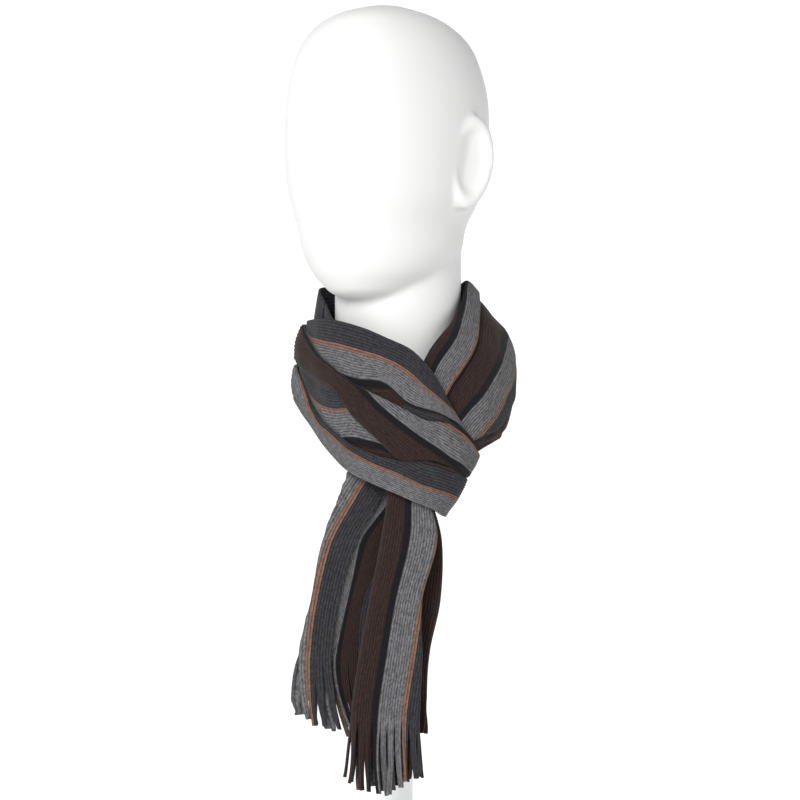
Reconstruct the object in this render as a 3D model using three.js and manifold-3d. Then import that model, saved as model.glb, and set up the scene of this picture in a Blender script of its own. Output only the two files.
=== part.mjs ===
// A striped rib-knit scarf, folded in half and worn with its tails drawn through its own loop,
// on a smooth display head with a pole and a round base. Millimetres, +Z up; the front faces -Y,
// and the origin is the centre of the base's underside, on the neck's axis.
import * as THREE from "three";
import { mergeVertices } from "three/addons/utils/BufferGeometryUtils.js";
import Module from "manifold-3d";

const wasm = await Module();
wasm.setup();

// Driving sizes of the cloth
const WALL = 1.8; // thickness of the knit
const PLY = 2.5; // from the middle of one layer to the middle of the next, where a lap is pressed
const TUCK = 7; // how far a lap of the loop or collar hides under the next
const ROOT_GAP = 0.4; // between an end of the scarf and the strip that carries its fringe
const ROOT_HEIGHT = 3;
const STRAND_PITCH = 6.4;
const STRAND_WIDTH = 5.2;
const STRAND_THICK = 1.4;

// Driving sizes of the head and its stand
const HEAD_TURN = 37; // degrees that the face is turned to the left of the front
const NECK_RADIUS = 53;
const NECK_FOOT_RADIUS = 57;
const NECK_FOOT_Z = 341;
const NECK_STRAIGHT_Z = 385;
const NECK_TOP_Z = 540;
const CROWN_Z = 703;
const EAR_HEIGHT = 80;
const EAR_DEPTH = 44;
const EAR_THICK = 17;
const POLE_RADIUS = 12.5;
const BASE_RADIUS = 100;
const BASE_THICK = 6;
const BASE_BEVEL = 1.5;

const DEG = Math.PI / 180;

// A table with named columns: each row becomes an object
const table = (columns, values) =>
  values.map((row) => Object.fromEntries(columns.split(" ").map((name, k) => [name, row[k]])));

// The loop's front layer, from the left side of the neck to its bight at the right. Each row is a
// section: its top and low edge, the way its outer side faces (0 is -Y, 90 is +X), how far its
// middle bows out, and where its three laps start, as shares of its height. The laps rise, fall
// and rise again, so that four facets of cloth show, the second and the fourth standing proud.
const LOOP_FRONT = table("topX topY topZ lowX lowY lowZ face bow lap1 lap2 lap3", [
  [-54.0, 46.0, 446, -58.5, 49.5, 374, -132, 2, 0.13, 0.48, 0.84],
  [-69.5, 25.5, 443, -74.5, 27.5, 375, -111, 3, 0.13, 0.48, 0.84],
  [-77.5, 0.0, 441, -87.0, 0.0, 377, -88, 3, 0.12, 0.48, 0.85],
  [-62.7, -38.0, 442, -71.3, -30.0, 353, -57, 3, 0.34, 0.5, 0.87],
  [-45.8, -58.0, 439, -55.5, -62.0, 333, -40, 3, 0.4, 0.49, 0.865],
  [-26.8, -70.0, 433, -40.5, -80.0, 318, -24, 3, 0.43, 0.59, 0.85],
  [-6.5, -78.0, 424, -20.9, -90.0, 308, -10, 3, 0.44, 0.665, 0.835],
  [11.3, -83.0, 415, 0.0, -94.0, 299, 0, 3, 0.45, 0.735, 0.8],
  [27.4, -85.0, 398, 16.1, -94.0, 292, 8, 3, 0.41, 0.645, 0.71],
  [43.7, -84.0, 369, 27.5, -91.0, 287, 22, 3, 0.215, 0.515, 0.6],
  [57.5, -77.0, 347, 34.5, -83.0, 282, 48, 2, 0.11, 0.405, 0.505],
  [63.5, -66.0, 336, 38.5, -70.0, 281, 88, 1, 0.12, 0.36, 0.47],
  [57.0, -56.5, 338, 33.0, -58.5, 283, 140, 0, 0.12, 0.34, 0.45],
]);
const LOOP_FRONT_LAPS = [1, -1, 1];

// The loop's back layer, behind the tails, from the bight to the left side of the neck
const LOOP_BACK = table("topX topY topZ lowX lowY lowZ face bow", [
  [52.5, -54.9, 341, 29.0, -56.9, 285, 335, 0],
  [38.0, -55.2, 350, 16.0, -57.8, 289, 345, 0],
  [20.0, -56.6, 372, 2.0, -59.4, 296, 355, 0],
  [-4.0, -57.2, 408, -14.0, -60.4, 306, 360, 0],
  [-26.0, -51.6, 424, -32.0, -54.4, 318, 335, 0],
  [-44.0, -37.4, 433, -49.0, -38.4, 332, 308, 0],
  [-55.0, -17.0, 443, -60.0, -17.0, 345, 286, 0],
  [-60.8, 4.0, 456, -63.0, 6.0, 352, 266, 0],
]);

// The outer collar carries the loop's front layer on round the nape, over the right side and
// forward into the loop. The knit turns over where it starts, behind the left side, so it laps over
// the end of the loop there, and its stripes run the other way round. Its upper facets lie over its
// lower ones, which shows at the right as three long facets stepping outwards.
const COLLAR_OUTER = table("topX topY topZ lowX lowY lowZ face bow lap1 lap2 lap3", [
  [-77.8, 33.0, 446, -84.8, 27.0, 371, -114, 1, 0.2, 0.5, 0.8],
  [-70.0, 48.5, 449, -78.0, 49.5, 368, -128, 3, 0.2, 0.5, 0.8],
  [-40.0, 70.5, 457, -46.0, 77.5, 366, -154, 5, 0.19, 0.5, 0.8],
  [0.0, 74.0, 463, 0.0, 83.0, 365, -180, 7, 0.18, 0.5, 0.8],
  [33.0, 62.0, 469, 39.0, 76.0, 362, -207, 10, 0.15, 0.52, 0.83],
  [53.0, 36.0, 473, 70.0, 50.0, 357, -238, 15, 0.11, 0.57, 0.88],
  [58.5, 4.0, 474, 83.0, 9.0, 349, -270, 23, 0.07, 0.63, 0.91],
  [53.0, -29.0, 452, 86.0, -22.0, 345, -297, 18, 0.14, 0.78, 0.93],
  [39.0, -55.0, 431, 79.0, -43.0, 341, -318, 13, 0.25, 0.84, 0.93],
  [25.0, -71.0, 408, 66.0, -62.0, 343, -333, 6, 0.33, 0.82, 0.92],
  [13.0, -78.0, 378, 43.0, -68.0, 320, -345, 2, 0.35, 0.74, 0.9],
]);
const COLLAR_LAPS = [-1, -1, -1];

// The inner collar, between the neck and the outer one, from the left side to the loop
const COLLAR_INNER = table("topX topY topZ lowX lowY lowZ face bow", [
  [-61.0, 4.6, 457, -63.2, 6.6, 352, -94, 0],
  [-65.0, 25.0, 470, -61.0, 32.0, 360, -118, 0],
  [-34.0, 51.0, 470, -38.0, 56.0, 364, -147, 0],
  [0.0, 59.0, 471, 0.0, 66.0, 366, -180, 0],
  [33.0, 48.0, 470, 37.0, 54.0, 364, -213, 0],
  [53.0, 24.0, 466, 58.0, 28.0, 358, -246, 0],
  [56.0, -6.0, 458, 66.0, -4.0, 350, -274, 0],
  [45.0, -37.0, 440, 66.0, -30.0, 340, -306, 0],
  [25.0, -60.0, 414, 53.0, -53.0, 362, -333, 0],
  [8.0, -64.0, 376, 35.0, -63.0, 334, -345, 0],
]);

// The tails hang in plies. Each row is a level section: its height, where the left and the right
// folds lie, how far the edge at the start and the edge at the end of the knit reach, the depth of
// the front ply, and how far apart the plies lie
const TAIL_LONG = table("z left right start end depth apart", [
  [348, -1, 26, 8, 5, -85.4, 4],
  [322, -5, 26, 6, 5, -87.0, 4.4],
  [294, -8, 26, 4, 2, -88.1, 4.7],
  [262, -13, 31, 6, 0, -88.4, 4.7],
  [214, -22, 19, -4, -12, -87.5, 4.7],
  [165, -31, 19, -10, -26, -87, 4.7],
  [120, -37, 17, -14, -33, -86.5, 4.7],
]);
const TAIL_SHORT = table("z left right start end depth apart", [
  [338, -33, 22, 14, -20, -71.2, 4.4],
  [302, -48, 25, -6, -38, -71.9, 4.7],
  [261, -61, 35, -31, -52, -71.9, 4.7],
  [212, -71.5, 34, -46.5, -62, -71, 4.7],
  [167, -80.5, 25, -53, -71, -71, 4.7],
]);
// Order of the plies along the knit: the run's two ends and its place counted from the front
const LONG_PLIES = table("from to ply", [
  ["start", "right", 1],
  ["right", "left", 0],
  ["left", "right", 2],
  ["right", "end", 3],
]);
const SHORT_PLIES = table("from to ply", [
  ["start", "left", 0],
  ["left", "right", 1],
  ["right", "end", 2],
]);

// Rings of the display head: height, how far the ring's centre lies ahead of the neck's axis,
// and its half length and half width
const HEAD_RINGS = table("z ahead length width", [
  [458.5, 42, 19, 17],
  [463, 39, 33, 30],
  [470, 33, 46, 40],
  [481, 27, 60, 52],
  [499, 22, 74, 61],
  [520, 22, 82, 63],
  [545, 18, 91, 72],
  [575, 16, 97, 75.5],
  [605, 14, 98, 77],
  [630, 13, 96.5, 75],
  [652, 13.5, 91, 70],
  [671, 14, 82, 62.5],
  [686, 15, 66, 49.5],
  [696, 15, 45, 33],
  [CROWN_Z, 15, 16, 12],
]);

// Values of a table's columns between its rows, on a smooth curve through them
function between(rows, place) {
  const at = Math.min(Math.floor(place), rows.length - 2);
  const t = place - at;
  const near = [-1, 0, 1, 2].map((k) => rows[Math.min(Math.max(at + k, 0), rows.length - 1)]);
  return Object.fromEntries(Object.keys(rows[0]).map((name) => {
    const [a, b, c, d] = near.map((row) => row[name]);
    const slope = (c - a) * t;
    const ease = (2 * a - 5 * b + 4 * c - d) * t * t;
    const turn = (3 * (b - c) + d - a) * t * t * t;
    return [name, b + (slope + ease + turn) / 2];
  }));
}

function alongTable(rows, perRow) {
  const count = (rows.length - 1) * perRow;
  return Array.from({ length: count + 1 }, (_, k) => between(rows, k / perRow));
}

// A lap doubles back on itself: places along it, as shares of the tuck and of the two plies' rise
const LAP = table("reach rise", [
  [0.1, 0],
  [0.42, 0],
  [0.5, 0.25],
  [0.42, 0.5],
  [-0.42, 0.5],
  [-0.5, 0.75],
  [-0.42, 1],
  [-0.1, 1],
]);
const LAP_SPREAD = 1.2; // half the width that a lap takes up besides its tuck

// The middle line of a section of the band: from its top edge down over its laps to its low edge
function bandSection(row, laps, perFacet) {
  const top = new THREE.Vector3(row.topX, row.topY, row.topZ);
  const down = new THREE.Vector3(row.lowX, row.lowY, row.lowZ).sub(top);
  const length = down.length();
  down.normalize();
  const out = new THREE.Vector3(Math.sin(row.face * DEG), -Math.cos(row.face * DEG), 0);
  out.addScaledVector(down, -out.dot(down)).normalize();
  const rises = laps.map((lap) => 2 * PLY * lap);
  const drift = rises.reduce((sum, rise) => sum + rise, 0);
  const line = [{ d: 0, h: 0 }];
  let level = 0;
  rises.forEach((rise, k) => {
    const start = row[`lap${k + 1}`] * length;
    const folds = LAP.map((place, n) => ({
      d: start + TUCK * place.reach + LAP_SPREAD * ((2 * n) / (LAP.length - 1) - 1),
      h: level + rise * place.rise,
    }));
    line.push(...facet(line[line.length - 1], folds[0], perFacet), ...folds);
    level += rise;
  });
  line.push(...facet(line[line.length - 1], { d: length, h: level }, perFacet), { d: length, h: level });
  return line.map(({ d, h }) => top.clone()
    .addScaledVector(down, d)
    .addScaledVector(out, h - (drift * d) / length + row.bow * Math.sin((Math.PI * d) / length)));
}

// Points between two places on a section, without its ends
function facet(a, b, count) {
  return Array.from({ length: count }, (_, k) => {
    const t = (k + 1) / (count + 1);
    return { d: a.d + (b.d - a.d) * t, h: a.h + (b.h - a.h) * t };
  });
}

// A level section of a tail: runs of cloth joined by round turns at the folds
const RUN_STEPS = 4;
const TURN_STEPS = 4;
function plySection(row, plies) {
  const points = [];
  plies.forEach((run, k) => {
    const ahead = Math.sign(row[run.to] - row[run.from]);
    const before = k > 0 ? (Math.abs(run.ply - plies[k - 1].ply) * row.apart) / 2 : 0;
    const after = k < plies.length - 1 ? (Math.abs(run.ply - plies[k + 1].ply) * row.apart) / 2 : 0;
    const y = row.depth + run.ply * row.apart;
    const from = row[run.from] + ahead * before;
    const to = row[run.to] - ahead * after;
    for (let n = 0; n <= RUN_STEPS; n += 1) {
      points.push({ x: from + ((to - from) * n) / RUN_STEPS, y, run: k });
    }
    if (k < plies.length - 1) {
      const deeper = Math.sign(plies[k + 1].ply - run.ply);
      for (let n = 1; n < TURN_STEPS; n += 1) {
        const turn = (Math.PI * n) / TURN_STEPS;
        const x = to + ahead * after * Math.sin(turn);
        points.push({ x, y: y + deeper * after * (1 - Math.cos(turn)), run: -1 });
      }
    }
  });
  return points.map((p) => ({ ...p, z: row.z }));
}
const toVectors = (points) => points.map((p) => new THREE.Vector3(p.x, p.y, p.z));

// A wall of cloth round a grid of points on its middle surface: a row for each section
function clothWall(sections, thickness) {
  const rows = sections.length;
  const cols = sections[0].length;
  const at = (i, j) => sections[Math.min(Math.max(i, 0), rows - 1)][Math.min(Math.max(j, 0), cols - 1)];
  const normal = (i, j) => {
    const along = at(i + 1, j).clone().sub(at(i - 1, j));
    const across = at(i, j + 1).clone().sub(at(i, j - 1));
    return along.cross(across).normalize();
  };
  const positions = [];
  for (const side of [1, -1]) {
    for (let i = 0; i < rows; i += 1) {
      for (let j = 0; j < cols; j += 1) {
        const p = at(i, j).clone().addScaledVector(normal(i, j), (side * thickness) / 2);
        positions.push(p.x, p.y, p.z);
      }
    }
  }
  const front = (i, j) => i * cols + j;
  const back = (i, j) => rows * cols + i * cols + j;
  const faces = [];
  const quad = (a, b, c, d) => faces.push(a, b, c, a, c, d);
  for (let i = 0; i < rows - 1; i += 1) {
    for (let j = 0; j < cols - 1; j += 1) {
      quad(front(i, j), front(i + 1, j), front(i + 1, j + 1), front(i, j + 1));
      quad(back(i, j), back(i, j + 1), back(i + 1, j + 1), back(i + 1, j));
    }
    quad(front(i, 0), back(i, 0), back(i + 1, 0), front(i + 1, 0));
    quad(front(i, cols - 1), front(i + 1, cols - 1), back(i + 1, cols - 1), back(i, cols - 1));
  }
  for (let j = 0; j < cols - 1; j += 1) {
    quad(front(0, j), front(0, j + 1), back(0, j + 1), back(0, j));
    quad(front(rows - 1, j), back(rows - 1, j), back(rows - 1, j + 1), front(rows - 1, j + 1));
  }
  return facesOut(positions, faces);
}

// A closed geometry whose faces point out, whichever way its faces were listed
function facesOut(positions, faces) {
  let volume = 0;
  const corner = (n) => new THREE.Vector3().fromArray(positions, 3 * n);
  for (let k = 0; k < faces.length; k += 3) {
    const [a, b, c] = [corner(faces[k]), corner(faces[k + 1]), corner(faces[k + 2])];
    volume += a.dot(b.cross(c));
  }
  const geometry = new THREE.BufferGeometry();
  geometry.setAttribute("position", new THREE.Float32BufferAttribute(positions, 3));
  geometry.setIndex(volume > 0 ? faces : faces.slice().reverse());
  return geometry;
}

// A closed skin over rings of points, with a flat fan at each end
function ringsSkin(rings) {
  const around = rings[0].length;
  const positions = rings.flat().flatMap((p) => [p.x, p.y, p.z]);
  const faces = [];
  for (let i = 0; i < rings.length - 1; i += 1) {
    for (let j = 0; j < around; j += 1) {
      const [a, b] = [i * around + j, i * around + ((j + 1) % around)];
      faces.push(a, b, b + around, a, b + around, a + around);
    }
  }
  const ends = [rings[0], rings[rings.length - 1]];
  ends.forEach((ring, end) => {
    const middle = ring.reduce((sum, p) => sum.add(p), new THREE.Vector3()).divideScalar(around);
    const hub = positions.length / 3;
    positions.push(middle.x, middle.y, middle.z);
    const first = end === 0 ? 0 : (rings.length - 1) * around;
    for (let j = 0; j < around; j += 1) {
      const [a, b] = [first + j, first + ((j + 1) % around)];
      faces.push(...(end === 0 ? [hub, b, a] : [hub, a, b]));
    }
  });
  return facesOut(positions, faces);
}

function toManifold(geometry) {
  const bare = new THREE.BufferGeometry();
  bare.setAttribute("position", geometry.getAttribute("position").clone());
  bare.setIndex(geometry.getIndex());
  const merged = mergeVertices(bare, 1e-4);
  const mesh = new wasm.Mesh({
    numProp: 3,
    vertProperties: new Float32Array(merged.getAttribute("position").array),
    triVerts: new Uint32Array(merged.getIndex().array),
  });
  return new wasm.Manifold(mesh);
}

function toGeometry(solid) {
  const mesh = solid.getMesh();
  const geometry = new THREE.BufferGeometry();
  geometry.setAttribute("position", new THREE.BufferAttribute(new Float32Array(mesh.vertProperties), 3));
  geometry.setIndex(new THREE.BufferAttribute(new Uint32Array(mesh.triVerts), 1));
  return geometry;
}

// Materials in the colours of the photographed object
const paint = (color, roughness, metalness = 0) =>
  new THREE.MeshStandardMaterial({ color, roughness, metalness });
const KNIT_DARK = paint(0x3f3d42, 0.95);
const KNIT_BROWN = paint(0x4a3d39, 0.95);
const KNIT_GREY = paint(0x6d6c70, 0.95);
const FRINGE_KNIT = paint(0x57504e, 0.95);
const HEAD_WHITE = paint(0xe9e9e6, 0.55);
const STEEL_WHITE = paint(0xd9dadb, 0.4, 0.3);

const object = new THREE.Group();
function addPiece(name, geometry, material) {
  const mesh = new THREE.Mesh(geometry, material);
  mesh.name = name;
  object.add(mesh);
}

// The stretches of the scarf that wind round the neck
const BAND_PER_ROW = 2;
function band(rows, laps, perFacet) {
  return alongTable(rows, BAND_PER_ROW).map((row) => bandSection(row, laps, perFacet));
}
const PLAIN_STEPS = 11;
addPiece("loop_front", clothWall(band(LOOP_FRONT, LOOP_FRONT_LAPS, 1), WALL), KNIT_GREY);
addPiece("loop_back", clothWall(band(LOOP_BACK, [], PLAIN_STEPS), WALL), KNIT_BROWN);
addPiece("collar_outer", clothWall(band(COLLAR_OUTER, COLLAR_LAPS, 1), WALL), KNIT_DARK);
addPiece("collar_inner", clothWall(band(COLLAR_INNER, [], PLAIN_STEPS), WALL), KNIT_BROWN);

// The tails
const TAIL_PER_ROW = 2;
function tailSections(rows, plies) {
  return alongTable(rows, TAIL_PER_ROW).map((row) => plySection(row, plies));
}
const longSections = tailSections(TAIL_LONG, LONG_PLIES);
const shortSections = tailSections(TAIL_SHORT, SHORT_PLIES);
addPiece("tail_long", clothWall(longSections.map(toVectors), WALL), KNIT_GREY);
addPiece("tail_short", clothWall(shortSections.map(toVectors), WALL), KNIT_DARK);

// A fringe: flat strips of knit cut along the ribs, hanging from a narrow strip under the tail
const STRAND_BENDS = 3;
const STRAND_TAPER = 0.15;
function strand(root, across, length, lean) {
  const rings = [];
  for (let n = 0; n <= STRAND_BENDS; n += 1) {
    const t = n / STRAND_BENDS;
    const middle = new THREE.Vector3(root.x + lean * t * t, root.y, root.z - length * t);
    const half = new THREE.Vector3(across.x, across.y, 0).multiplyScalar(1 - STRAND_TAPER * t);
    half.multiplyScalar(STRAND_WIDTH / 2);
    const face = new THREE.Vector3(-across.y, across.x, 0).multiplyScalar(STRAND_THICK / 2);
    rings.push([[1, 1], [-1, 1], [-1, -1], [1, -1]].map(([a, b]) =>
      middle.clone().addScaledVector(half, a).addScaledVector(face, b)));
  }
  return toManifold(ringsSkin(rings));
}

// The outer strands lean out by the fan, the middle ones in, and their lengths are uneven
function fringe(section, fan, shortest, longest) {
  const down = (by) => section.map((p) => new THREE.Vector3(p.x, p.y, p.z - by));
  let solid = toManifold(clothWall([down(ROOT_GAP), down(ROOT_GAP + ROOT_HEIGHT)], WALL));
  const left = Math.min(...section.map((p) => p.x));
  const right = Math.max(...section.map((p) => p.x));
  const runs = [...new Set(section.map((p) => p.run))].filter((run) => run >= 0);
  runs.forEach((run) => {
    const points = section.filter((p) => p.run === run);
    const [a, b] = [points[0], points[points.length - 1]];
    const count = Math.floor(Math.abs(b.x - a.x) / STRAND_PITCH);
    const across = new THREE.Vector3(b.x - a.x, b.y - a.y, 0).normalize();
    for (let n = 0; n < count; n += 1) {
      const t = (n + 0.5) / count;
      const x = a.x + (b.x - a.x) * t;
      const root = { x, y: a.y + (b.y - a.y) * t, z: a.z - ROOT_GAP - ROOT_HEIGHT / 2 };
      const lean = fan * (2 * Math.sin((Math.PI * (x - left)) / (right - left)) - 1);
      const uneven = 0.5 + 0.5 * Math.sin(2.4 * n + 1.7 * run);
      solid = solid.add(strand(root, across, shortest + (longest - shortest) * uneven, lean));
    }
  });
  return toGeometry(solid);
}
addPiece("fringe_long", fringe(longSections[longSections.length - 1], 2, 50, 58), FRINGE_KNIT);
addPiece("fringe_short", fringe(shortSections[shortSections.length - 1], 4, 46, 58), FRINGE_KNIT);

// The display head: a smooth egg with no face, a round neck and two plain ears
const AROUND = 32;
function ellipseRing(z, ahead, length, width) {
  const turn = HEAD_TURN * DEG;
  const forward = new THREE.Vector3(-Math.sin(turn), -Math.cos(turn), 0);
  const sideways = new THREE.Vector3(Math.cos(turn), -Math.sin(turn), 0);
  return Array.from({ length: AROUND }, (_, k) => {
    const angle = (2 * Math.PI * k) / AROUND;
    return new THREE.Vector3(0, 0, z)
      .addScaledVector(forward, ahead + length * Math.cos(angle))
      .addScaledVector(sideways, width * Math.sin(angle));
  });
}

function headForm() {
  const rings = HEAD_RINGS.map((r) => ellipseRing(r.z, r.ahead, r.length, r.width));
  const neck = table("z radius", [
    [NECK_FOOT_Z, NECK_FOOT_RADIUS],
    [(NECK_FOOT_Z + NECK_STRAIGHT_Z) / 2, NECK_RADIUS + 1],
    [NECK_STRAIGHT_Z, NECK_RADIUS],
    [NECK_TOP_Z, NECK_RADIUS],
  ]).map((r) => ellipseRing(r.z, 0, r.radius, r.radius));
  let solid = toManifold(ringsSkin(rings)).add(toManifold(ringsSkin(neck)));
  for (const side of [1, -1]) {
    solid = solid.add(ear(side));
  }
  return toGeometry(solid);
}

const EAR_PLACE = { ahead: 2, out: 74, z: 570 };
const EAR_FLARE = 24;
const EAR_LEAN = 8;
function ear(side) {
  const turn = HEAD_TURN * DEG;
  const shape = new THREE.SphereGeometry(0.5, 16, 10);
  shape.scale(EAR_THICK, EAR_DEPTH, EAR_HEIGHT);
  shape.rotateX(-EAR_LEAN * DEG);
  shape.rotateZ(-EAR_FLARE * DEG * side);
  shape.translate(EAR_PLACE.out * side, -EAR_PLACE.ahead, EAR_PLACE.z);
  shape.rotateZ(-turn);
  return toManifold(shape);
}
addPiece("head_form", headForm(), HEAD_WHITE);

// The pole and its round base
const poleLength = NECK_FOOT_Z - BASE_THICK;
const pole = new THREE.CylinderGeometry(POLE_RADIUS, POLE_RADIUS, poleLength, 24);
pole.rotateX(Math.PI / 2);
pole.translate(0, 0, BASE_THICK + poleLength / 2);
addPiece("stand_pole", pole, STEEL_WHITE);
const base = new THREE.LatheGeometry([
  new THREE.Vector2(0, 0),
  new THREE.Vector2(BASE_RADIUS, 0),
  new THREE.Vector2(BASE_RADIUS, BASE_THICK - BASE_BEVEL),
  new THREE.Vector2(BASE_RADIUS - BASE_BEVEL, BASE_THICK),
  new THREE.Vector2(0, BASE_THICK),
], 48);
base.rotateX(Math.PI / 2);
addPiece("stand_base", base, STEEL_WHITE);

export default object;
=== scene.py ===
"""Looks of a striped rib-knit scarf, folded in half and drawn through its own loop, on a display head.

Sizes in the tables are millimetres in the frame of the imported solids; meshes are made in metres.
"""

from __future__ import annotations

import logging
import math
from dataclasses import dataclass
from enum import Enum
from typing import Sequence

import bpy
import numpy as np
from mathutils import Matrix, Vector

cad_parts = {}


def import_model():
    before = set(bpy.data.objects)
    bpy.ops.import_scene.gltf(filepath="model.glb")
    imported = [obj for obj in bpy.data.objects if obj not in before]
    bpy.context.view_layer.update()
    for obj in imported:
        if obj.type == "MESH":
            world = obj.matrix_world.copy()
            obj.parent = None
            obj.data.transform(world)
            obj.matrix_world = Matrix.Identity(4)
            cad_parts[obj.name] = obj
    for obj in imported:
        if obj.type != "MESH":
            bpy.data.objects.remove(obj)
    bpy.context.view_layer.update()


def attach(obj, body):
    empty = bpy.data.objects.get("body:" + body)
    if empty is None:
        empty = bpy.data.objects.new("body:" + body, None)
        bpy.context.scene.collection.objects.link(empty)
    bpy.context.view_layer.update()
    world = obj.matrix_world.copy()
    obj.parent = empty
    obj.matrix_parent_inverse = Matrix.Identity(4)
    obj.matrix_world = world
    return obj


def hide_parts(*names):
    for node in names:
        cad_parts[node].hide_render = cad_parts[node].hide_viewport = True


LOG = logging.getLogger("scarf")
MM = 0.001
KNIT_WIDTH = 250.3  # the scarf's flat width
REPEAT = 69.5  # across the knit from one charcoal stripe to the next
RIB = REPEAT / 30  # from one rib of the knit to the next
STITCH = 1.9  # length of a stitch
SAMPLES_PER_RIB = 3
ROW_STEP = 3.2  # between the rows of a mesh, along the knit
WALL = 1.8  # thickness of the knit
PLY = 2.5  # between the middles of two layers where a lap is pressed
TUCK = 7.0  # how far a lap hides under the next
LAP_SPREAD = 1.2
LIP = 9.0  # how far a folded edge goes down inside
RELIEF = 0.34  # how far the ribs stand out of the knit's middle height
SHARP = 80  # degrees from which an edge of the knit is shaded sharp
# A rolled top edge and a hem, as distance down and out from where the edge lies
CREST = ((LIP, -2.4), (1.4, -2.4), (0.4, -2.0), (0.0, -1.2), (0.3, -0.4), (1.1, 0.0))
HEM = ((-0.3, -0.4), (0.0, -1.2), (-0.4, -2.0), (-1.4, -2.4), (-LIP, -2.4))


class Yarn(Enum):
    """The yarns of the stripes."""

    CHARCOAL = "charcoal"
    RUST = "rust"
    HEATHER = "heather"
    BLACK = "black"
    BROWN = "brown"


@dataclass(frozen=True)
class Shade:
    """A yarn's two tones, in linear light.

    Args:
        deep: colour of its dark fibres.
        light: colour of its light fibres.
    """

    deep: tuple[float, float, float]
    light: tuple[float, float, float]


SHADES = {
    Yarn.CHARCOAL: Shade((0.0105, 0.0105, 0.0125), (0.048, 0.0475, 0.055)),
    Yarn.RUST: Shade((0.085, 0.043, 0.030), (0.255, 0.137, 0.095)),
    Yarn.HEATHER: Shade((0.030, 0.030, 0.032), (0.205, 0.20, 0.207)),
    Yarn.BLACK: Shade((0.003, 0.003, 0.004), (0.009, 0.009, 0.012)),
    Yarn.BROWN: Shade((0.012, 0.0065, 0.0055), (0.041, 0.0225, 0.019)),
}

# The stripes lie along the ribs: each yarn, and where its stripe ends across the knit
STRIPES = (
    (Yarn.CHARCOAL, 16.5), (Yarn.RUST, 20.3), (Yarn.HEATHER, 41.8), (Yarn.BLACK, 47.0), (Yarn.BROWN, 69.5),
    (Yarn.CHARCOAL, 86.0), (Yarn.RUST, 89.8), (Yarn.HEATHER, 111.3), (Yarn.BLACK, 116.5), (Yarn.BROWN, 139.0),
    (Yarn.CHARCOAL, 155.5), (Yarn.RUST, 159.3), (Yarn.HEATHER, 180.8), (Yarn.BLACK, 186.0), (Yarn.BROWN, 208.5),
    (Yarn.CHARCOAL, 225.0), (Yarn.RUST, 228.8), (Yarn.HEATHER, KNIT_WIDTH),
)  # fmt: skip


class Table:
    """A short table with named columns, read between its rows on a smooth curve."""

    def __init__(self, columns: str, rows: Sequence[Sequence[float]]) -> None:
        """Keeps the rows.

        Args:
            columns: the columns' names, with spaces between them.
            rows: the values, a row for each section.
        """
        self.names = columns.split()
        self.values = np.array(rows, float)

    def at(self, places: np.ndarray) -> dict[str, np.ndarray]:
        """Reads every column.

        Args:
            places: where to read, in rows from the first one.

        Returns:
            Each column's values at those places.
        """
        last = len(self.values) - 1
        index = np.clip(np.floor(places).astype(int), 0, last - 1)
        t = (places - index)[:, None]
        a, b, c, d = (self.values[np.clip(index + k, 0, last)] for k in (-1, 0, 1, 2))
        read = b + ((c - a) * t + (2 * a - 5 * b + 4 * c - d) * t**2 + (3 * (b - c) + d - a) * t**3) / 2
        return {name: read[:, k] for k, name in enumerate(self.names)}

    def spaced(self, start: Sequence[str], end: Sequence[str], step: float) -> tuple[np.ndarray, np.ndarray]:
        """Places at equal steps along the path half way between two points of each row.

        Args:
            start: columns of the first point.
            end: columns of the second point.
            step: distance between the places.

        Returns:
            The places, and how far along the path each lies.
        """
        fine = np.linspace(0, len(self.values) - 1, 40 * (len(self.values) - 1) + 1)
        read = self.at(fine)
        middle = np.stack([(read[a] + read[b]) / 2 for a, b in zip(start, end)], 1)
        gone = np.concatenate([[0], np.cumsum(np.linalg.norm(np.diff(middle, axis=0), axis=1))])
        along = np.linspace(0, gone[-1], max(int(round(gone[-1] / step)), 2) + 1)
        return np.interp(along, gone, fine), along


class Ripple:
    """Smooth unevenness over a surface: a few long waves with seeded directions."""

    def __init__(self, seed: int, span: float) -> None:
        """Chooses the waves.

        Args:
            seed: number that fixes the pattern.
            span: rough distance between swells.
        """
        pick = np.random.default_rng(seed)
        turn = pick.uniform(0, 2 * math.pi, 7)
        size = 2 * math.pi / (span * pick.uniform(0.7, 1.9, 7))
        self.waves = np.stack([np.cos(turn) * size, np.sin(turn) * size, pick.uniform(0, 2 * math.pi, 7)], 1)

    def at(self, u: np.ndarray, v: np.ndarray) -> np.ndarray:
        """Height from about -1 to 1.

        Args:
            u: distance across.
            v: distance along.

        Returns:
            The height at each pair.
        """
        return sum(np.sin(a * u + b * v + c) for a, b, c in self.waves) / 3.2


def softened(values: np.ndarray, reach: float) -> np.ndarray:
    """Rounds off the corners of a line, with its two ends kept.

    Args:
        values: the line's values, one row for each sample.
        reach: how many samples the rounding reaches over.

    Returns:
        The rounded values.
    """
    half = int(math.ceil(3 * reach))
    weights = np.exp(-0.5 * (np.arange(-half, half + 1) / reach) ** 2)
    weights /= weights.sum()
    padded = np.concatenate([2 * values[:1] - values[half:0:-1], values, 2 * values[-1:] - values[-2 : -half - 2 : -1]])
    return np.stack([np.convolve(padded[:, k], weights, "valid") for k in range(values.shape[1])], 1)


def knit_columns(low: float = 0.0, high: float = KNIT_WIDTH) -> np.ndarray:
    """Places across the knit for the columns of a mesh, in step with the ribs.

    Args:
        low: first place.
        high: last place.

    Returns:
        The places.
    """
    pitch = RIB / SAMPLES_PER_RIB
    inner = np.arange(math.ceil(low / pitch + 0.3), math.floor(high / pitch - 0.3) + 1) * pitch
    return np.concatenate([[low], inner, [high]])


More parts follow.
